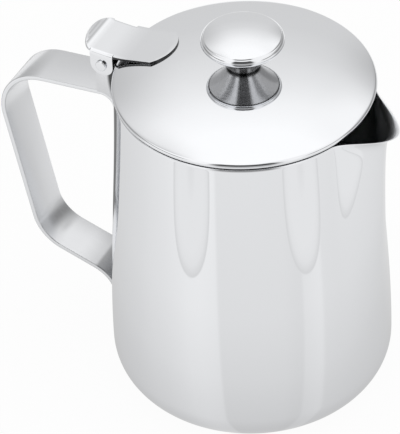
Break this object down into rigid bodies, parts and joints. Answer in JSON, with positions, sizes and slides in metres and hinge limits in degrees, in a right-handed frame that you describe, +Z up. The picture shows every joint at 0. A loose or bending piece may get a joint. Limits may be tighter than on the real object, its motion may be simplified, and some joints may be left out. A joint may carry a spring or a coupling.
{
  "type": "hot milk jug with lid",
  "caption": "Polished steel hot milk jug with a pulled spout, a flat strap handle, and a domed lid with a mushroom knob that hinges open by a thumb plate.",
  "frame": {"origin": "centre of the flat base, on the surface it stands on", "axes": "+Z up along the jug's axis, +X towards the spout, the handle on -X, the lid's hinge pin along Y"},
  "size_m": [0.167, 0.1114, 0.1648],
  "materials": {
    "polished_steel": "mirror polished stainless steel",
    "satin_steel": "satin stainless steel"
  },
  "bodies": {
    "jug": {"jug_body": "polished_steel", "handle_strap": "satin_steel", "hinge_bracket": "satin_steel", "hinge_pin": "satin_steel"},
    "lid": {"lid_shell": "polished_steel", "thumb_plate": "polished_steel", "knob_base": "polished_steel", "knob_cap": "polished_steel", "knob_bush": "satin_steel", "knob_screw": "satin_steel", "knob_washer": "satin_steel"}
  },
  "joints": [
    {"name": "lid_hinge", "type": "hinge", "parent": "jug", "child": "lid", "pos_m": [-0.0552, 0, 0.1381], "axis": [0, -1, 0], "range_deg": [0, 95]}
  ]
}
